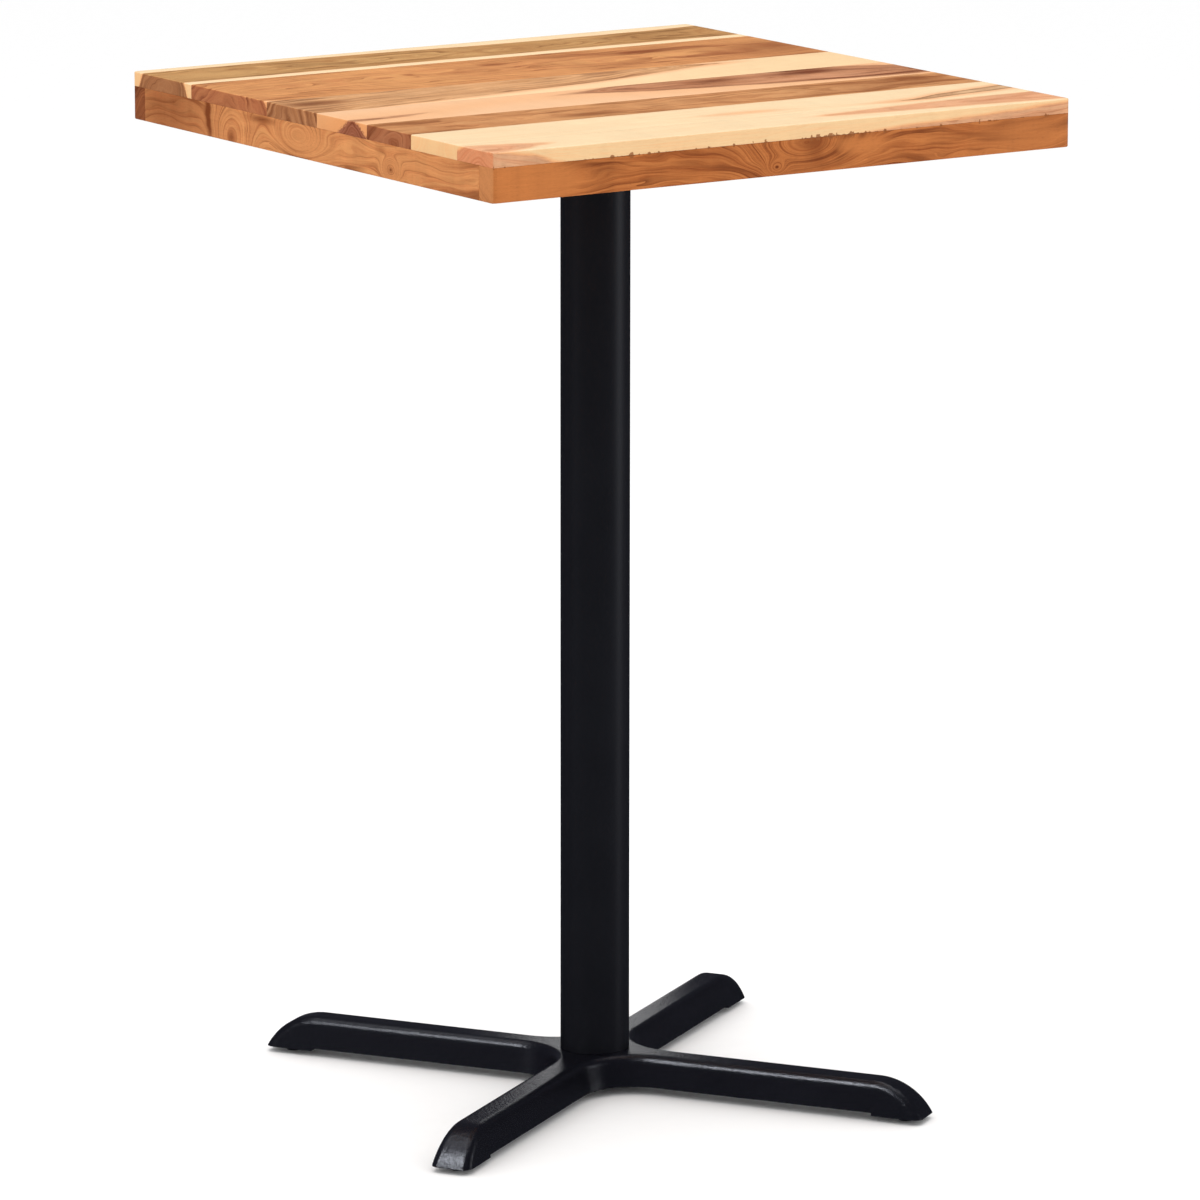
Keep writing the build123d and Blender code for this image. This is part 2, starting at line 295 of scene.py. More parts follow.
# Each board's figure, in millimetres on the board: x runs along it from -350 to 350, "across" is
# counted from the back edge on a stave and from the outer face on a rail, and depth goes down.
# heart: (x, centre across, half width of the heartwood on the board's top); widen: how much that
# half width grows with each millimetre of depth; arch: how round the ring arches are; halo: how
# far a warm tint reaches into the sapwood; rim: how dark the heartwood's outline is.
# ragged: how uneven that outline is; patches: (x, across or depth, length, width, strength), where
# a negative strength is a light patch; knots: (x, depth, radius, darkness, stretch); soft: how far
# the heartwood's edge is blurred; end_sap and end_heart: what end grain multiplies the colour by.
BOARDS = {
    "top_stave_1": dict(
        tones=OLIVE, sap=CREAM, widen=0.5, arch=24, halo=3, rim=0.25, ragged=2,
        heart=((-350, 63, 42), (-100, 61, 42), (120, 66, 37), (250, 65, 38), (350, 59, 44)),
        patches=((-290, 64, 110, 50, -0.7), (-190, 46, 90, 30, 0.4), (-60, 88, 150, 12, 0.6),
                 (80, 52, 120, 34, 0.35), (255, 60, 150, 60, 0.5), (0, 60, 40, 40, -0.3)),
    ),
    "top_stave_2": dict(
        tones=ORANGE, sap=PEACH, widen=0.8, arch=30, halo=2, rim=0.1, ragged=3,
        heart=((-350, 70, 76), (-270, 70, 88), (0, 72, 100), (350, 70, 100)),
        patches=((-10, 44, 44, 22, 0.8), (70, 22, 150, 26, 0.6), (180, 44, 80, 22, 1.0),
                 (310, 90, 150, 120, 0.7), (-120, 90, 260, 60, -0.4)),
    ),
    "top_stave_3": dict(
        tones=TAN, sap=WARM_CREAM, widen=1.0, arch=5, halo=14, rim=0.25, ragged=4,
        heart=((-350, 40, 64), (-180, 26, 60), (0, 12, 50), (110, 8, 27), (192, 12, 1),
               (350, 12, -26)),
        patches=((-318, 38, 60, 30, 1.0), (185, 12, 30, 8, 1.4), (-150, 60, 220, 16, 0.45)),
        soft=2.0, end_heart=(0.86, 0.70, 0.62, 1.0),
    ),
    "top_stave_4": dict(
        tones=FLAME, sap=LIGHT_PEACH, widen=1.5, arch=4, halo=60, rim=0.5, ragged=5,
        heart=((-350, 68, 6), (-300, 65, 5), (-255, 57, -2), (-170, 34, -14), (-72, 24, 0),
               (50, 24, 31), (150, 32, 39), (250, 40, 43), (350, 57, 32)),
        patches=((110, 22, 80, 28, 0.8), (235, 20, 90, 26, 1.0), (310, 76, 120, 12, 1.0),
                 (30, 14, 70, 10, -0.8), (200, 56, 160, 10, -0.9), (170, 6, 120, 8, -0.6)),
        soft=4.0, end_sap=(0.94, 0.82, 0.68, 1.0), end_heart=(0.80, 0.58, 0.58, 1.0),
    ),
    "top_stave_5": dict(
        tones=RED_BROWN, sap=PEACH, widen=0.7, arch=22, halo=2, rim=0.1, ragged=2,
        heart=((-350, 44, 60), (0, 42, 66), (350, 42, 62)),
        patches=((-120, 58, 80, 26, 0.8), (-190, 24, 60, 16, 0.5), (-60, 34, 30, 30, -0.5),
                 (290, 44, 160, 60, 0.45), (120, 70, 160, 10, 0.5)),
    ),
    "top_stave_6": dict(
        tones=OUTLINED, sap=CREAM, widen=0.3, arch=4, halo=16, rim=1.0, ragged=2,
        heart=((-350, 40, -40), (-60, 52, -12), (25, 54, -3), (80, 60, -12), (190, 70, -1),
               (250, 60, 8), (350, 42, 11)),
        patches=((30, 52, 36, 16, 0.7),),
    ),
    "top_stave_7": dict(
        tones=PINK_FLAME, sap=CREAM, widen=1.9, arch=5, halo=8, rim=0.2, ragged=3,
        heart=((-350, 40, 26), (-305, 38, 15), (-268, 36, -2), (-150, 32, -24), (30, 30, -8),
               (110, 30, 7), (200, 28, 16), (280, 29, 22), (350, 31, 27)),
        patches=((-335, 48, 30, 14, 0.7), (330, 12, 60, 16, 0.5)),
        knots=((203, 9, 7, 1.2, 1.3),), soft=3.0, end_heart=(0.98, 0.72, 0.60, 1.0),
    ),
    "rail_front": dict(
        tones=RAIL_RED, sap=PEACH, widen=1.0, arch=30, halo=2, rim=0.0, ragged=2,
        heart=((-350, 60, 118), (-250, 60, 128), (-170, 60, 134), (-60, 60, 128),
               (0, 60, 118), (40, 60, 126), (120, 60, 122), (230, 60, 112), (350, 60, 118)),
        patches=((-318, 14, 90, 50, -1.1), (-110, 12, 150, 40, 0.35), (34, 14, 34, 40, 0.55),
                 (88, 12, 60, 16, -1.0), (-255, 18, 70, 40, -0.5), (305, 18, 130, 40, -0.8)),
        knots=((22, 4, 26, 0.25, 2.2), (-14, 26, 8, 1.3, 1.4)), end_heart=(1.1, 1.3, 1.7, 1.0),
    ),
    "rail_back": dict(
        tones=RAIL_RED, sap=PEACH, widen=1.0, arch=30, halo=2, rim=0.0, ragged=2,
        heart=((-350, 60, 120), (-120, 60, 132), (80, 60, 118), (350, 60, 127)),
        patches=((120, 10, 90, 60, 0.4), (-60, 20, 120, 20, -0.5)),
        knots=((-190, 20, 18, 0.6, 1.6),), end_heart=(0.60, 0.56, 0.72, 1.0),
    ),
    "rail_left": dict(
        tones=RAIL_ORANGE, sap=PEACH, widen=1.0, arch=30, halo=2, rim=0.0, ragged=2,
        heart=((-350, 60, 138), (-280, 60, 122), (-160, 60, 116), (-60, 60, 120),
               (40, 60, 128), (110, 60, 112), (200, 60, 136), (350, 60, 132)),
        patches=((275, 14, 190, 90, 0.72), (194, 12, 8, 40, 0.9), (84, 6, 60, 10, 0.9),
                 (-40, 20, 200, 30, -0.4), (-240, 12, 140, 30, -0.4), (-145, 8, 30, 12, 0.8)),
        knots=((148, 30, 30, 0.7, 1.1), (16, 12, 20, 0.0, 2.0), (-162, 25, 9, 1.3, 1.4)),
    ),
    "rail_right": dict(
        tones=RAIL_ORANGE, sap=PEACH, widen=1.0, arch=30, halo=2, rim=0.0, ragged=2,
        heart=((-350, 60, 126), (-90, 60, 118), (130, 60, 134), (350, 60, 122)),
        patches=((-200, 12, 110, 60, 0.5), (80, 16, 160, 20, -0.5)),
        knots=((60, 14, 20, 0.7, 1.5),),
    ),
    "batten_left": dict(
        tones=BATTEN, sap=PEACH, widen=0.8, arch=20, halo=3, rim=0.1, ragged=3,
        heart=((-350, 40, 70), (0, 44, 78), (350, 40, 72)), patches=(), dull=True,
    ),
    "batten_right": dict(
        tones=BATTEN, sap=PEACH, widen=0.8, arch=20, halo=3, rim=0.1, ragged=3,
        heart=((-350, 44, 74), (0, 38, 68), (350, 42, 76)), patches=(), dull=True,
    ),
}
SAP_END_GRAIN = (1.0, 0.91, 0.82, 1.0)  # these four multiply the wood's colour
HEART_END_GRAIN = (0.78, 0.59, 0.62, 1.0)
# painted light: upright sapwood is tinted warmer than the top, in place of the top's whiter sheen
SAP_SIDE_PAINTED_LIGHT = (1.14, 1.0, 0.86, 1.0)
PORE = (0.42, 0.30, 0.24, 1.0)
CHIP = shade("#a4643a")


def board_axes(g, node):
    """Millimetres along, across and down a board, and its normal's share along the grain and up."""
    low, high = (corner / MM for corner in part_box(node))
    _, (x, y, z) = g.place_mm()
    geometry = g.tree.nodes.new("ShaderNodeNewGeometry")
    normal = g.node("ShaderNodeSeparateXYZ", {0: geometry.outputs["Normal"]})
    down = g.math("SUBTRACT", high.z, z)
    if high.y - low.y > high.x - low.x:
        outer = low.x if low.x + high.x < 0 else high.x
        across = g.math("ABSOLUTE", g.math("SUBTRACT", x, outer))
        return y, across, down, normal.outputs[1], normal.outputs[2]
    if node == "rail_front":
        return x, g.math("SUBTRACT", y, low.y), down, normal.outputs[0], normal.outputs[2]
    return x, g.math("SUBTRACT", high.y, y), down, normal.outputs[0], normal.outputs[2]


def bell(g, square):
    """1 where the squared distance is 0, falling away smoothly to 0."""
    return g.math("EXPONENT", g.times(square, -1.0))


def patch_field(g, along, other, patches):
    """How far the board's dark patches (above 0) and light patches (below 0) reach."""
    total = 0.0
    for x, centre, length, width, strength in patches:
        u = g.math("DIVIDE", g.math("SUBTRACT", along, x), length * 0.6)
        v = g.math("DIVIDE", g.math("SUBTRACT", other, centre), width * 0.6)
        square = g.add(g.times(u, u), g.times(v, v))
        total = g.add(total, g.times(bell(g, square), strength))
    return total


def bent_round_knots(g, rings, along, down, knots):
    """The rings bent into circles round each knot, and how dark the knots' middles are."""
    darkness = 0.0
    for x, depth, radius, dark, stretch in knots:
        u, v = g.math("SUBTRACT", along, x), g.math("SUBTRACT", down, depth)
        square = g.add(g.times(g.times(u, u), 1 / stretch**2), g.times(v, v))
        weight = bell(g, g.times(square, 1 / radius**2))
        out = g.times(g.math("SQRT", square), -1.0)
        rings = g.add(rings, g.times(weight, g.math("SUBTRACT", out, rings)))
        darkness = g.add(darkness, g.times(bell(g, g.times(square, 25 / radius**2)), dark))
    return rings, darkness


def arched(g, value, arch):
    """A distance from the heart's middle line, flattened near 0 so that the rings are rounded."""
    return g.math("SUBTRACT", g.math("SQRT", g.add(g.times(value, value), arch * arch)), arch)


def inside_heart(g, board, along, across, down):
    """Millimetres inside the heartwood's edge, below 0 in the sapwood. The rings follow it."""
    points = board["heart"]
    centre = g.curve(along, [(p[0], p[1]) for p in points], -350, 350)
    half = g.curve(along, [(p[0], p[2]) for p in points], -350, 350)
    half = g.add(half, g.times(down, board["widen"]))
    positive = arched(g, g.math("MAXIMUM", half, 0.0), board["arch"])
    reach = g.add(positive, g.math("MINIMUM", half, 0.0))
    return g.math("SUBTRACT", reach, arched(g, g.math("SUBTRACT", across, centre), board["arch"]))


def wood(node, seed):
    """Solid wood whose rings, heartwood and pores run through the whole board."""
    board = BOARDS[node]
    g = Graph(f"{node}_wood")
    along, across, down, end_normal, up_normal = board_axes(g, node)

    # slow drift of the grain along the board
    slow = g.vector(g.add(g.times(along, 0.009), seed), g.times(across, 0.022), g.times(down, 0.03))
    drift = g.node("ShaderNodeSeparateColor", {0: g.noise(slow, 1.0, 2.0, 0.5, output="Color")})
    sway = g.between(drift.outputs[0], -16.0, 16.0)
    lift = g.between(drift.outputs[1], -9.0, 9.0)

    inside = inside_heart(g, board, along, across, down)
    torn = g.noise(g.vector(g.times(along, 0.03), g.times(across, 0.25), g.times(down, 0.25)), 1.0, 3.0)
    edge = g.add(inside, g.between(torn, -board["ragged"], board["ragged"]))
    rings, knots = bent_round_knots(g, g.add(inside, sway, lift), along, down, board.get("knots", ()))

    # growth bands in three sizes, growth lines with one hard side, and streaks along the grain
    fade = g.times(along, 0.005)
    broad = g.noise(g.vector(g.times(rings, 0.07), fade, seed), 1.0, 2.0, 0.6)
    bands = g.noise(g.vector(g.times(rings, 0.30), fade, seed + 7.0), 1.0, 4.0, 0.70)
    tooth = g.math("FRACT", g.add(g.times(rings, 0.11), g.times(broad, 2.5)))
    lines = g.times(g.math("POWER", tooth, 5.0), g.smooth(drift.outputs[2], 0.38, 0.58))
    streaks = g.noise(
        g.vector(g.times(along, 0.012), g.times(across, 0.45), g.times(down, 0.45)), 1.0, 3.0, 0.65
    )
    mottle = g.noise(g.vector(g.times(along, 0.035), g.times(across, 0.014), seed), 1.0, 3.0, 0.6)
    figure = g.noise(g.vector(g.times(along, 0.11), g.times(across, 0.03), seed + 3.0), 1.0, 2.0, 0.5)

    # fibres and pores: long dashes on the faces, dots on the end grain
    fibre_place = g.vector(g.times(along, 0.05), g.times(across, 1.6), g.times(down, 1.6))
    fibres = g.noise(fibre_place, 1.0, 3.0, 0.6)
    pore_place = g.vector(g.times(along, 0.16), g.times(across, 3.1), g.times(down, 3.1))
    pores = g.smooth(g.noise(pore_place, 1.0, 1.0, 0.4), 0.60, 0.70)

    color = heartwood(g, board, broad, bands, lines)
    if board["rim"]:
        rim = g.math("EXPONENT", g.times(g.math("MAXIMUM", edge, 0.0), -0.22))
        color = g.mix(g.times(rim, board["rim"]), color, board["tones"][0])
    other = down if node.startswith("rail_") else across
    patches = patch_field(g, g.add(along, sway), g.add(other, g.times(lift, 0.5)), board["patches"])
    grained = g.add(patches, g.between(bands, -0.45, 0.45), g.between(mottle, -0.25, 0.25))
    dark = g.times(g.smooth(grained, 0.15, 1.1), g.smooth(patches, 0.0, 0.4))
    color = g.mix(dark, color, board["tones"][0])
    light = g.times(g.smooth(grained, -0.1, -1.0), g.smooth(patches, 0.0, -0.4))
    color = g.mix(light, color, board["tones"][1])
    color = g.mix(g.math("MINIMUM", knots, 0.9), color, board["tones"][0])
    sap = sapwood(g, board, edge, bands, streaks)
    soft = board.get("soft", 0.8)
    is_heart = g.smooth(g.add(edge, g.times(g.between(streaks, -2.0, 2.0), soft)), -soft, soft)
    color = g.mix(is_heart, sap, color)

    # slow light and dark, streaks, fibres and pores
    shadowing = g.times(g.between(mottle, 0.80, 1.18), g.between(figure, 0.95, 1.05))
    shadowing = g.times(shadowing, g.between(streaks, 0.86, 1.13))
    shadowing = g.times(shadowing, g.between(fibres, 0.90, 1.09))
    softened = g.mix(is_heart, grey(g, g.math("POWER", shadowing, 0.35)), grey(g, shadowing))
    color = g.mix(1.0, color, softened, "MULTIPLY")
    pore_dark = g.times(pores, g.between(g.smooth(edge, -6.0, 2.0), 0.10, 0.30))
    color = g.mix(pore_dark, color, g.mix(1.0, color, PORE, "MULTIPLY"))

    # end grain drinks more oil; upright sapwood is painted warmer than the top, painted light for the
    # top's sheen
    end_grain = g.smooth(g.math("ABSOLUTE", end_normal), 0.55, 0.85)
    end_sap = board.get("end_sap", SAP_END_GRAIN)
    end_heart = board.get("end_heart", HEART_END_GRAIN)
    soaked = g.mix(is_heart, end_sap, end_heart)
    color = g.mix(end_grain, color, g.mix(1.0, color, soaked, "MULTIPLY"))
    upright = g.smooth(g.math("ABSOLUTE", up_normal), 0.7, 0.3)
    sap_side_painted_light = g.times(upright, g.math("SUBTRACT", 1.0, is_heart))
    color = g.mix(sap_side_painted_light, color, g.mix(1.0, color, SAP_SIDE_PAINTED_LIGHT, "MULTIPLY"))
    if node in CHIPPED_NODES:
        color = chipped_joint_color(g, color, along, across, down, node)

    relief = g.add(g.times(fibres, 0.35), g.times(pores, -0.8), g.times(bands, 0.3))
    dull = board.get("dull", False)
    normal = g.bump(relief, 0.06 if dull else 0.035)
    roughness = g.add(g.between(fibres, 0.36, 0.46), g.times(pores, 0.15), 0.22 if dull else 0.0)
    coat = 0.0 if dull else 0.05
    return g.finish(
        color, roughness, normal, Specular_IOR_Level=0.12, Coat_Weight=coat, Coat_Roughness=0.28
    )


def heartwood(g, board, broad, bands, lines):
    """Bands of three tones, with dark growth lines."""
    dark, light, middle = board["tones"]
    color = g.mix(g.smooth(bands, 0.36, 0.62), middle, light)
    color = g.mix(g.times(g.smooth(broad, 0.50, 0.72), 0.75), color, dark)
    thin = g.times(g.smooth(bands, 0.42, 0.30), 0.6)
    color = g.mix(thin, color, dark)
    return g.mix(g.times(lines, 0.75), color, dark)


def sapwood(g, board, edge, bands, streaks):
    """Pale wood with faint warm lines, and warmer near the heartwood."""
    faint = g.times(g.add(g.smooth(bands, 0.40, 0.75), g.smooth(streaks, 0.45, 0.75)), 0.30)
    color = g.mix(faint, board["sap"], PEACH)
    return g.mix(g.smooth(edge, -board["halo"], 0.0), color, PEACH)


def grey(g, value):
    """The value as a grey colour."""
    return g.node("ShaderNodeCombineColor", {"Red": value, "Green": value, "Blue": value}).outputs[0]


def chipped_joint_color(g, color, along, across, down, node):
    """Torn-out fibres, in the rail's own colour, where the front rail meets the front stave."""
    low, high = (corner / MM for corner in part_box(node))
    off_joint = down if node == "rail_front" else g.math("SUBTRACT", high.z - low.z, down)
    zones = 0.0
    for x, reach, strength in CHIP_ZONES:
        u = g.math("DIVIDE", g.math("SUBTRACT", along, x), reach)
        zones = g.add(zones, g.times(bell(g, g.times(g.times(u, u), g.times(u, u))), strength))
    torn = g.noise(g.vector(g.times(along, 0.13), g.times(off_joint, 0.10), 3.0), 1.0, 2.0, 0.6)
    height = g.times(g.smooth(g.add(torn, g.times(zones, 0.14)), 0.53, 0.76), CHIP_COLOR_REACH_MM)
    chips = g.smooth(g.math("SUBTRACT", height, off_joint), 0.0, 0.8)
    behind = across if node == "rail_front" else g.math("SUBTRACT", high.y - low.y, across)
    chips = g.times(chips, g.smooth(behind, 2.0, 1.0))
    return g.mix(g.times(chips, 0.85), color, CHIP)


# ========================================
# Metal, plastic and floor
# ========================================
def speckle(g, place, scale, detail=2.0):
    """Grain without a direction, where the scale is the number of grains in a millimetre."""
    return g.noise(place, scale, detail, 0.5)


def powder_coat(name, dark, light, roughness, grain_mm, relief_mm, peel_mm):
    """Black powder coat: fine grain over a slower orange peel, duller where it is thin, with pale
    flecks painted in as glints.
    """
    g = Graph(name)
    place, _ = g.place_mm()
    grain = speckle(g, place, 1.0 / grain_mm)
    peel = speckle(g, place, 1.0 / peel_mm)
    cloud = speckle(g, place, 0.012)
    relief = g.add(g.times(grain, 0.35), peel)
    color = g.mix(cloud, tint(dark), tint(light))
    # painted highlight: pale flecks in the colour stand in for the orange peel's speckled glints
    color = g.mix(g.times(g.smooth(grain, 0.62, 0.75), 0.35), color, tint("#2e2f3a"))
    gloss = g.add(g.between(grain, roughness - 0.05, roughness + 0.06), g.between(cloud, -0.03, 0.04))
    normal = g.bump(relief, relief_mm)
    return g.finish(color, gloss, normal, Specular_IOR_Level=0.42, Specular_Tint=COOL_SHINE)


def zinc_plate():
    """Zinc on steel: cloudy blue-grey with fine turning lines, short of a mirror."""
    g = Graph("zinc_plate")
    place, (_, _, z) = g.place_mm()
    cloud = speckle(g, place, 0.25, 4.0)
    turning = g.noise(g.vector(0.0, 0.0, g.times(z, 6.0)), 1.0, 2.0)
    color = g.mix(g.smooth(cloud, 0.3, 0.7), (0.46, 0.47, 0.49, 1.0), (0.66, 0.65, 0.60, 1.0))
    roughness = g.add(g.between(cloud, 0.24, 0.40), g.between(turning, -0.05, 0.05))
    relief = g.add(cloud, g.times(turning, 0.5))
    return g.finish(color, roughness, g.bump(relief, 0.02), Metallic=0.6)


def nylon():
    """Moulded black nylon with a matt spark-eroded skin."""
    g = Graph("black_nylon")
    place, _ = g.place_mm()
    grain = speckle(g, place, 4.0)
    scuffs = g.smooth(speckle(g, place, 0.6, 4.0), 0.58, 0.72)
    color = g.mix(g.times(scuffs, 0.5), tint("#1d1d1f"), tint("#4a4846"))
    roughness = g.between(grain, 0.48, 0.62)
    return g.finish(color, roughness, g.bump(grain, 0.03), Specular_IOR_Level=0.4)


def floor_finish():
    """Pale matt studio floor with a hardly visible grain."""
    g = Graph("studio_floor")
    place, _ = g.place_mm()
    grain = speckle(g, place, 0.05, 4.0)
    color = g.mix(grain, (0.965, 0.965, 0.965, 1.0), (0.995, 0.995, 0.995, 1.0))
    return g.finish(color, 0.8, g.bump(grain, 0.1), Specular_IOR_Level=0.1)


# ========================================
# Mesh building
# ========================================
def piece(name, node, mesh_points, faces, material, smooth=True):
    """A new object that stands for a CAD node and rides on its body."""
    mesh = bpy.data.meshes.new(name)
    mesh.from_pydata(mesh_points, [], faces)
    return place_piece(name, node, mesh, material, smooth)


def place_piece(name, node, mesh, material, smooth=True):
    """The mesh without doubled points or inside-out faces, as a piece of the table."""
    clean = bmesh.new()
    clean.from_mesh(mesh)
    bmesh.ops.remove_doubles(clean, verts=clean.verts, dist=1e-7)
    bmesh.ops.dissolve_degenerate(clean, edges=clean.edges, dist=1e-7)
    bmesh.ops.recalc_face_normals(clean, faces=clean.faces)
    clean.to_mesh(mesh)
    clean.free()
    mesh.validate()
    mesh.materials.append(material)
    if smooth:
        mesh.shade_smooth()
        mesh.set_sharp_from_angle(angle=SHARP_ANGLE)
    made = bpy.data.objects.new(name, mesh)
    bpy.context.scene.collection.objects.link(made)
    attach(made, frame["nodes"][node]["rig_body"])
    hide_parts(node)
    return made


def round_inset(radius, reach):
    """How far a rounded edge falls back at a distance from its end."""
    if reach >= radius:
        return 0.0
    return radius - math.sqrt(max(0.0, radius**2 - (radius - reach) ** 2))


def steps_between(low, high, step, radius):
    """Places from low to high: even steps in the middle and fine ones near both ends."""
    fine = [radius * (1 - math.cos(math.pi / 2 * i / ARC_STEPS)) for i in range(ARC_STEPS + 1)]
    count = max(1, round((high - low - 2 * radius) / step))
    inner = [low + radius + (high - low - 2 * radius) * i / count for i in range(1, count)]
    return [low + f for f in fine] + inner + [high - f for f in reversed(fine)]


def section_loop(v_low, v_high, w_low, w_high, radii, counts):
    """A rectangle with four rounded corners: (low, low), (high, low), (high, high), (low, high)."""
    corners = (
        (v_low, w_low, 1, 1, 180), (v_high, w_low, -1, 1, 270),
        (v_high, w_high, -1, -1, 0), (v_low, w_high, 1, -1, 90),
    )
    arcs = []
    for radius, (v, w, v_inward, w_inward, start) in zip(radii, corners):
        cv, cw = v + v_inward * radius, w + w_inward * radius
        turns = [math.radians(start + 90 * i / ARC_STEPS) for i in range(ARC_STEPS + 1)]
        arcs.append([(cv + radius * math.cos(turn), cw + radius * math.sin(turn)) for turn in turns])
    loop = []
    for index, arc in enumerate(arcs):
        loop.extend(arc)
        (v, w), (next_v, next_w) = arc[-1], arcs[(index + 1) % 4][0]
        for i in range(1, counts[index]):
            share = i / counts[index]
            loop.append((v + (next_v - v) * share, w + (next_w - w) * share))
    return loop


def lofted_board(node, material, end_radii, section_radii):
    """A board lofted along its longer side, with rounded arrises.

    end_radii: the rounding of the end edges on the low-across, high-across, bottom and top sides.
    section_radii: the rounding of the long edges, bottom-low, bottom-high, top-high, top-low.
    """
    low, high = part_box(node)
    is_chipped = node in CHIPPED_NODES
    runs_along_y = high.y - low.y > high.x - low.x
    u_low, u_high = (low.y, high.y) if runs_along_y else (low.x, high.x)
    v_low, v_high = (low.x, high.x) if runs_along_y else (low.y, high.y)
    across_count = max(2, round((v_high - v_low) / SECTION_STEP))
    up_count = max(2, round((high.z - low.z) / SECTION_STEP))
    if is_chipped:
        up_count = CHIPPED_SECTION_COUNT
    counts = [across_count, up_count] * 2
    rows = steps_between(u_low, u_high, CHIPPED_STEP if is_chipped else BOARD_STEP, max(end_radii))
    points = []
    for u in rows:
        reach = min(u - u_low, u_high - u)
        v_start, v_end, bottom, top = (round_inset(radius, reach) for radius in end_radii)
        loop = section_loop(
            v_low + v_start, v_high - v_end, low.z + bottom, high.z - top, section_radii, counts
        )
        for v, w in loop:
            points.append(Vector((v, u, w)) if runs_along_y else Vector((u, v, w)))
    width = len(loop)
    faces = []
    for row in range(len(rows) - 1):
        here, following = row * width, (row + 1) * width
        for i in range(width):
            j = (i + 1) % width
            faces.append((here + i, here + j, following + j, following + i))
    faces.append(tuple(range(width)))
    faces.append(tuple((len(rows) - 1) * width + i for i in range(width)))
    if is_chipped:
        points = [chipped(node, point, low, high) for point in points]
    return piece(f"{node}_board", node, points, faces, material)


def chipped(node, point, low, high):
    """A point of the front face, pushed in where fibres tore out along the glue line."""
    off_joint = high.z - point.z if node == "rail_front" else point.z - low.z
    if point.y > low.y + CHIP_DEPTH or off_joint > CHIP_REACH:
        return point
    x = point.x / MM
    zones = 0.0
    for centre, reach, strength in CHIP_ZONES:
        zones += strength * math.exp(-(((x - centre) / reach) ** 4))
    torn = noise.noise(Vector((x * 0.25, 0.0, 3.0)))
    bite = min(1.0, max(0.0, torn + 0.4 * zones - 0.15) * 2.0)
    return point + Vector((0, bite * (1 - off_joint / CHIP_REACH) * CHIP_DEPTH, 0))


def on_circle(centre, radius, angle, height):
    """A point at a radius and angle round a vertical axis."""
    x, y = centre.x + radius * math.cos(angle), centre.y + radius * math.sin(angle)
    return (x, y, height)


def ring_faces(steps, count):
    """Faces between closed profiles of so many points, all the way round."""
    faces = []
    for i in range(steps):
        here, following = i * count, ((i + 1) % steps) * count
        for k in range(count):
            above = (k + 1) % count
            faces.append((here + k, here + above, following + above, following + k))
    return faces


def lathe(profile, centre, steps=ROUND_STEPS):
    """Points and faces of a closed profile of (radius, height), turned round a vertical axis."""
    points = []
    for i in range(steps):
        angle = 2 * math.pi * i / steps
        points.extend(on_circle(centre, radius, angle, height) for radius, height in profile)
    return points, ring_faces(steps, len(profile))


def rounded_profile(corners, radius):
    """Closed profile with each corner of (radius, height) turned into a short arc."""
    result = []
    count = len(corners)
    for i, corner in enumerate(corners):
        before, after = Vector(corners[i - 1]), Vector(corners[(i + 1) % count])
        here = Vector(corner)
        first = here + (before - here).normalized() * radius
        last = here + (after - here).normalized() * radius
        for k in range(5):
            share = k / 4
            result.append(tuple(first.lerp(here, share).lerp(here.lerp(last, share), share)))
    return result


def thread(major, minor, pitch, low_z, high_z, centre, steps=THREAD_STEPS):
    """A round bar with a helical thread between two heights, closed at both ends."""
    shape = (minor, (major + minor) / 2, major, (major + minor) / 2)
    rows = 4 * (math.ceil((high_z - low_z) / pitch) + 2)
    points, faces = [], []
    for i in range(steps):
        angle = 2 * math.pi * i / steps
        for k in range(rows):
            height = low_z + (k / 4 + i / steps - 1) * pitch
            radius = shape[k % 4] if low_z < height < high_z else minor
            height = min(max(height, low_z), high_z)
            points.append(on_circle(centre, radius, angle, height))
    for i in range(steps):
        shift = 4 if i == steps - 1 else 0
        for k in range(rows - 1 - shift):
            a, b = i * rows + k, i * rows + k + 1
            following = ((i + 1) % steps) * rows + k + shift
            faces.append((a, b, following + 1, following))
    bottom = tuple(i * rows for i in range(steps))
    top = tuple(i * rows + rows - 1 for i in range(steps))
    return points, faces + [bottom, top]


def merged(*parts):
    """Several (points, faces) pairs as one."""
    points, faces = [], []
    for part_points, part_faces in parts:
        start = len(points)
        points.extend(part_points)
        faces.extend(tuple(start + i for i in face) for face in part_faces)
    return points, faces


def refined(node, material, edge_radius, segments=2):
    """The CAD piece itself with its sharp edges broken and its flat faces cleaned."""
    source = frame["nodes"][node].data
    mesh = bpy.data.meshes.new(f"{node}_fine")
    cleaned = bmesh.new()
    cleaned.from_mesh(source)
    bmesh.ops.remove_doubles(cleaned, verts=cleaned.verts, dist=2e-6)
    bmesh.ops.dissolve_limit(
        cleaned, angle_limit=math.radians(0.2), verts=cleaned.verts, edges=cleaned.edges
    )
    cleaned.to_mesh(mesh)
    cleaned.free()
    # the imported shading belongs to the unbevelled shape
    for attribute in ("custom_normal", "sharp_edge"):
        if attribute in mesh.attributes:
            mesh.attributes.remove(mesh.attributes[attribute])
    mesh.materials.clear()
    made = place_piece(f"{node}_fine", node, mesh, material)
    bevel = made.modifiers.new("broken_edges", "BEVEL")
    bevel.width = edge_radius
    bevel.segments = segments
    bevel.limit_method = "ANGLE"
    bevel.angle_limit = SHARP_ANGLE
    bevel.harden_normals = False
    bevel.use_clamp_overlap = True
    weighted = made.modifiers.new("even_normals", "WEIGHTED_NORMAL")
    weighted.keep_sharp = True
    return made


def middle(node):
    """The middle, lowest and highest corners of a CAD node's box."""
    low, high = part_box(node)
    return (low + high) / 2, low, high


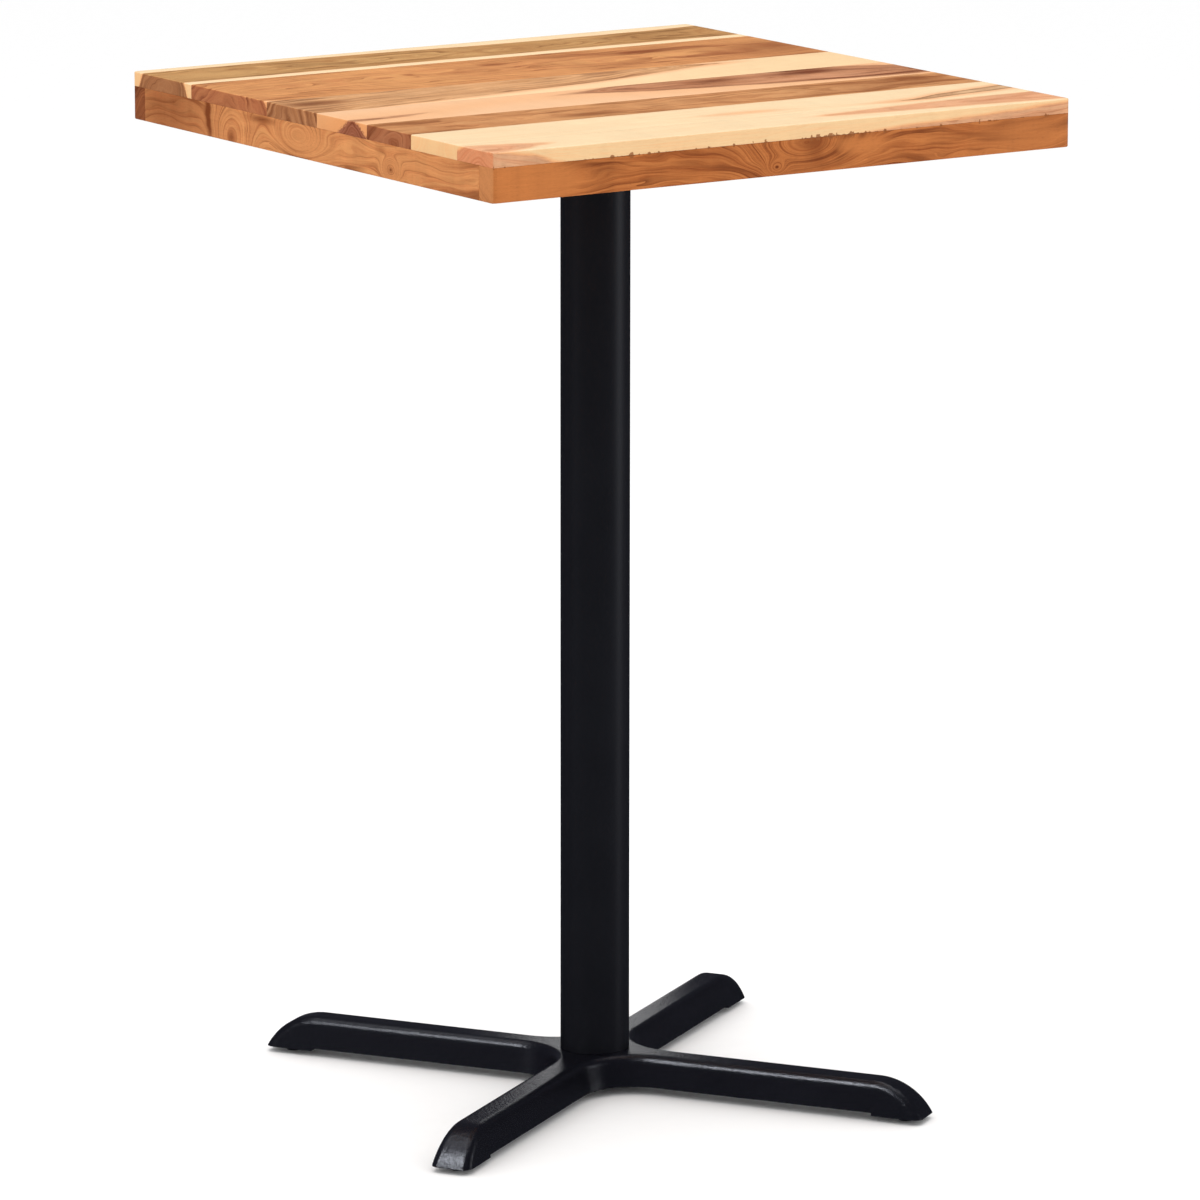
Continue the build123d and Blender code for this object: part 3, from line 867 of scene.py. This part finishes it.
# ========================================
# The table's pieces
# ========================================
def make_staves():
    """Seven staves, counted from the back, with rounded outer edges and close joints."""
    for index, node in enumerate(STAVES):
        is_back, is_front = index == 0, index == len(STAVES) - 1
        low_side = OUTER_CORNER_R if is_front else JOINT_ARRIS_R
        high_side = OUTER_CORNER_R if is_back else JOINT_ARRIS_R
        end_radii = (low_side, high_side, JOINT_ARRIS_R, ARRIS_R)
        top_low = ARRIS_R if is_front else JOINT_ARRIS_R
        top_high = ARRIS_R if is_back else JOINT_ARRIS_R
        section = (JOINT_ARRIS_R, JOINT_ARRIS_R, top_high, top_low)
        lofted_board(node, wood(node, 3.7 * index + 1.0), end_radii, section)


def make_rails():
    """The long rails have the table's rounded corners, and the short ones stand between them."""
    joint, arris, corner = JOINT_ARRIS_R, ARRIS_R, OUTER_CORNER_R
    rails = (
        ("rail_front", 31.0, (corner, joint, arris, joint), (arris, joint, joint, joint)),
        ("rail_back", 37.0, (joint, corner, arris, joint), (joint, arris, joint, joint)),
        ("rail_left", 41.0, (joint, joint, joint, joint), (arris, joint, joint, joint)),
        ("rail_right", 43.0, (joint, joint, joint, joint), (joint, arris, joint, joint)),
    )
    for node, seed, end_radii, section in rails:
        lofted_board(node, wood(node, seed), end_radii, section)


def make_battens():
    """The two cross battens, plain sawn and never oiled."""
    for index, node in enumerate(("batten_left", "batten_right")):
        refined(node, wood(node, 51.0 + 4 * index), HARDWARE_EDGE_R)


def make_column(material):
    """A steel tube with broken edges."""
    centre, low, high = middle("column_tube")
    outer = (high.x - low.x) / 2
    inner = outer - TUBE_WALL
    corners = [(inner, low.z), (outer, low.z), (outer, high.z), (inner, high.z)]
    points, faces = lathe(rounded_profile(corners, TUBE_EDGE_R), centre)
    piece("column_tube_fine", "column_tube", points, faces, material)


def make_tie_rod(material):
    """A plain rod with a thread at each end."""
    centre, low, high = middle("tie_rod")
    major = (high.x - low.x) / 2
    minor = major * ROD_MINOR_SHARE
    shank_low, shank_high = low.z + ROD_THREAD_LENGTH, high.z - ROD_THREAD_LENGTH
    bottom = thread(major, minor, ROD_PITCH, low.z, shank_low, centre)
    top = thread(major, minor, ROD_PITCH, shank_high, high.z, centre)
    shank_r = (major + minor) / 2
    corners = [(0.0, shank_low), (shank_r, shank_low), (shank_r, shank_high), (0.0, shank_high)]
    shank = lathe(corners, centre, THREAD_STEPS)
    points, faces = merged(bottom, shank, top)
    piece("tie_rod_fine", "tie_rod", points, faces, material)


def hexagon(centre, across_flats, low_z, high_z, turn, hole_r):
    """A chamfered hexagon ring: its corners fall back at both ends."""
    corner_r, flat_r = across_flats / math.sqrt(3), across_flats / 2
    face_r = flat_r * 0.97
    points = []
    for i in range(HEXAGON_STEPS):
        angle = 2 * math.pi * i / HEXAGON_STEPS
        side = (angle + math.pi / 6) % (math.pi / 3) - math.pi / 6
        flat = flat_r / math.cos(side)
        drop = (flat - flat_r) / (corner_r - flat_r) * HEXAGON_CHAMFER
        ring = (
            (hole_r, low_z), (face_r, low_z), (flat, low_z + drop),
            (flat, high_z - drop), (face_r, high_z), (hole_r, high_z),
        )
        points.extend(on_circle(centre, radius, angle + turn, height) for radius, height in ring)
    return points, ring_faces(HEXAGON_STEPS, len(ring))


def make_foot(node, material):
    """A nylon foot, slightly tapered, with a pocket that holds the stud's button."""
    centre, low, high = middle(node)
    outer = (high.x - low.x) / 2
    sole, floor_z, lip_z = low.z, low.z + 0.9 * MM, low.z + 1.8 * MM
    neck_r, pocket_r = NECK_R + POCKET_GAP, BUTTON_R + POCKET_GAP
    corners = [
        (0.0, sole), (outer - 0.5 * MM, sole), (outer, floor_z), (outer - 0.3 * MM, high.z),
        (neck_r, high.z), (neck_r, lip_z), (pocket_r, lip_z), (pocket_r, floor_z), (0.0, floor_z),
    ]
    points, faces = lathe(corners, centre, 64)
    piece(f"{node}_fine", node, points, faces, material)


def make_stud(node, material, sole):
    """A threaded stud with a hexagon collar, over a neck and a button that sit in the foot."""
    centre, low, high = middle(node)
    turn = math.atan2(centre.y, centre.x)
    collar_low, collar_high = sole + COLLAR_BOTTOM, sole + COLLAR_TOP
    bar_low = collar_high - JOIN_OVERLAP
    bar = thread(STUD_MAJOR_R, STUD_MINOR_R, STUD_PITCH, bar_low, high.z, centre)
    collar = hexagon(centre, COLLAR_ACROSS_FLATS, collar_low, collar_high, turn, 0.5 * MM)
    button_top, neck_top = low.z + BUTTON_HEIGHT, collar_low + 0.3 * MM
    neck = [
        (0.0, low.z), (BUTTON_R, low.z), (BUTTON_R, button_top),
        (NECK_R, button_top), (NECK_R, neck_top), (0.0, neck_top),
    ]
    points, faces = merged(bar, collar, lathe(neck, centre, 32))
    piece(f"{node}_fine", node, points, faces, material)


def make_glides(foot_material, stud_material):
    """One foot and one stud under each arm."""
    for arm in ARMS:
        foot = f"glide_foot_{arm}"
        make_foot(foot, foot_material)
        make_stud(f"glide_stud_{arm}", stud_material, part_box(foot)[0].z)


def screw_centres():
    """Where the plate's screws stand, from the middles of the CAD node's separate solids."""
    found = {}
    low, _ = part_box("plate_screws")
    for vertex in frame["nodes"]["plate_screws"].data.vertices:
        if vertex.co.z < low.z + 0.1 * MM:
            key = (vertex.co.x > 0, round(vertex.co.y / (30 * MM)))
            found.setdefault(key, []).append(vertex.co.copy())
    return [sum(group, Vector()) / len(group) for _, group in sorted(found.items())]


def recess_share(x, y):
    """How deep the cross recess is at a place on the screw's head, from 0 to 1."""
    off_arm, reach = min(abs(x), abs(y)), max(abs(x), abs(y))
    across_arm = max(0.0, 1 - (off_arm / RECESS_HALF_WIDTH) ** 4)
    along_arm = max(0.0, 1 - (reach / RECESS_REACH) ** 6)
    return across_arm * along_arm


def screw_head(centre, turn):
    """A countersunk head that faces down, with a cross recess in it."""
    rings, steps = 16, 64
    points, faces = [(centre.x, centre.y, centre.z + RECESS_DEPTH)], []
    for k in range(1, rings + 1):
        radius = SCREW_HEAD_R * k / rings
        for i in range(steps):
            angle = 2 * math.pi * i / steps
            x, y = radius * math.cos(angle), radius * math.sin(angle)
            place = Matrix.Rotation(turn, 3, "Z") @ Vector((x, y, 0))
            height = centre.z + RECESS_DEPTH * recess_share(x, y)
            points.append((centre.x + place.x, centre.y + place.y, height))
    neck = len(points)
    for i in range(steps):
        angle = 2 * math.pi * i / steps + turn
        points.append(on_circle(centre, SCREW_SHANK_R, angle, centre.z + SCREW_HEAD_DEPTH))
    for i in range(steps):
        faces.append((0, 1 + i, 1 + (i + 1) % steps))
    for k in range(rings):
        for i in range(steps):
            a, b = 1 + k * steps + i, 1 + k * steps + (i + 1) % steps
            faces.append((a, a + steps, b + steps, b))
    faces.append(tuple(neck + i for i in range(steps)))
    return points, faces


def screw(centre, high_z, turn):
    """A countersunk screw that points up, with a coarse thread and a point."""
    steps = 24
    bar_low, bar_high = centre.z + SCREW_HEAD_DEPTH - JOIN_OVERLAP, high_z - SCREW_POINT
    bar = thread(SCREW_MAJOR_R, SCREW_SHANK_R, SCREW_PITCH, bar_low, bar_high, centre, steps)
    tip_low = bar_high - JOIN_OVERLAP
    tip = [(0.0, tip_low), (SCREW_SHANK_R, tip_low), (0.3 * MM, high_z), (0.0, high_z)]
    return merged(screw_head(centre, turn), bar, lathe(tip, centre, steps))


def make_screws(material):
    """Eight identical screws, each stopped at its own angle."""
    chance = random.Random(8)
    _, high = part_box("plate_screws")
    parts = [screw(centre, high.z, chance.uniform(0, math.pi / 2)) for centre in screw_centres()]
    points, faces = merged(*parts)
    piece("plate_screws_fine", "plate_screws", points, faces, material)


def make_metal():
    """Black powder coat on the column, plate and base, zinc on the hardware, nylon on the feet."""
    satin = powder_coat(
        "satin_powder_coat", "#0d0d13", "#15151b",
        roughness=0.44, grain_mm=0.5, relief_mm=0.05, peel_mm=2.2,
    )
    casting = powder_coat(
        "casting_powder_coat", "#08080c", "#0e0e14",
        roughness=0.22, grain_mm=0.7, relief_mm=0.45, peel_mm=3.4,
    )
    zinc = zinc_plate()
    make_column(satin)
    refined("mounting_plate", satin, PLATE_EDGE_R)
    refined("centring_ring", satin, HARDWARE_EDGE_R)
    refined("base_casting", casting, CASTING_EDGE_R, 3)
    make_tie_rod(zinc)
    for end in ("top", "bottom"):
        refined(f"tie_rod_washer_{end}", zinc, HARDWARE_EDGE_R)
        refined(f"tie_rod_nut_{end}", zinc, HARDWARE_EDGE_R)
    make_screws(zinc)
    make_glides(nylon(), zinc)


# ========================================
# Studio
# ========================================
def make_floor():
    """A wide floor at the feet's soles, left out of reflections so that black stays black."""
    bpy.ops.mesh.primitive_circle_add(vertices=96, radius=40.0, fill_type="NGON")
    floor = bpy.context.object
    floor.name = "studio_floor"
    floor.location.z = cad_low.z
    floor.data.materials.append(floor_finish())
    floor.visible_glossy = False


def make_world():
    """White for the camera, bright for diffuse light, and dim in reflections."""
    world = bpy.data.worlds.new("studio")
    world.use_nodes = True
    bpy.context.scene.world = world
    tree = world.node_tree
    background = tree.nodes["Background"]
    path = tree.nodes.new("ShaderNodeLightPath")
    color = tree.nodes.new("ShaderNodeMix")
    color.data_type = "RGBA"
    color.inputs["A"].default_value = (1.0, 1.0, 1.0, 1.0)
    color.inputs["B"].default_value = WORLD_GLOSSY_TINT
    tree.links.new(path.outputs["Is Glossy Ray"], color.inputs["Factor"])
    tree.links.new(color.outputs["Result"], background.inputs["Color"])
    dim = tree.nodes.new("ShaderNodeMapRange")
    dim.inputs["To Min"].default_value = WORLD_DIFFUSE
    dim.inputs["To Max"].default_value = WORLD_GLOSSY
    tree.links.new(path.outputs["Is Glossy Ray"], dim.inputs["Value"])
    tree.links.new(dim.outputs[0], background.inputs["Strength"])


def softbox(name, place, target, size, power, only=None):
    """A rectangular light, on everything or only on the pieces in one collection."""
    light = bpy.data.lights.new(name, "AREA")
    light.shape = "RECTANGLE"
    light.size, light.size_y = size
    light.energy = power
    made = bpy.data.objects.new(name, light)
    bpy.context.scene.collection.objects.link(made)
    made.location = place
    made.rotation_euler = (Vector(target) - Vector(place)).to_track_quat("-Z", "Y").to_euler()
    made.visible_camera = False
    if only is not None:
        made.light_linking.receiver_collection = only


def make_lights():
    """Soft lights all round, and two that only draw highlights on the glossy casting."""
    softbox("overhead_softbox", (0.0, 0.2, 3.2), (0, 0, 0.3), (3.0, 2.6), 56.0)
    softbox("left_softbox", (-4.2, 0.8, 0.1), (0, 0, 0.1), (1.0, 3.0), 4.0)
    softbox("right_softbox", (3.4, -2.6, 0.1), (0, 0, 0.1), (1.0, 3.0), 29.0)
    glossy = bpy.data.collections.new("glossy_pieces")
    glossy.objects.link(bpy.data.objects["base_casting_fine"])
    softbox("edge_softbox", (-2.25, -0.5, 2.2), (0, -0.1, 0.1), (1.0, 0.35), 70.0, glossy)
    softbox("hub_card", (0.33, 0.5, 0.22), (0, 0, 0.1), (0.16, 0.35), 0.15, glossy)


def make_camera():
    """A long lens that looks down on the left front corner."""
    data = bpy.data.cameras.new("photo_angle")
    camera = bpy.data.objects.new("photo_angle", data)
    bpy.context.scene.collection.objects.link(camera)
    back = Vector((
        -math.sin(CAMERA_AZIMUTH) * math.cos(CAMERA_PITCH),
        -math.cos(CAMERA_AZIMUTH) * math.cos(CAMERA_PITCH),
        math.sin(CAMERA_PITCH),
    ))
    camera.location = CAMERA_TARGET + back * CAMERA_DISTANCE
    camera.rotation_euler = (math.pi / 2 - CAMERA_PITCH, 0.0, -CAMERA_AZIMUTH)
    data.sensor_width = 36.0
    data.lens = CAMERA_LENS
    data.shift_x, data.shift_y = CAMERA_SHIFT
    data.clip_end = 200.0
    bpy.context.scene.camera = camera


make_staves()
make_rails()
make_battens()
make_metal()
make_floor()
make_world()
make_lights()
make_camera()
bpy.context.scene.view_settings.view_transform = "Standard"
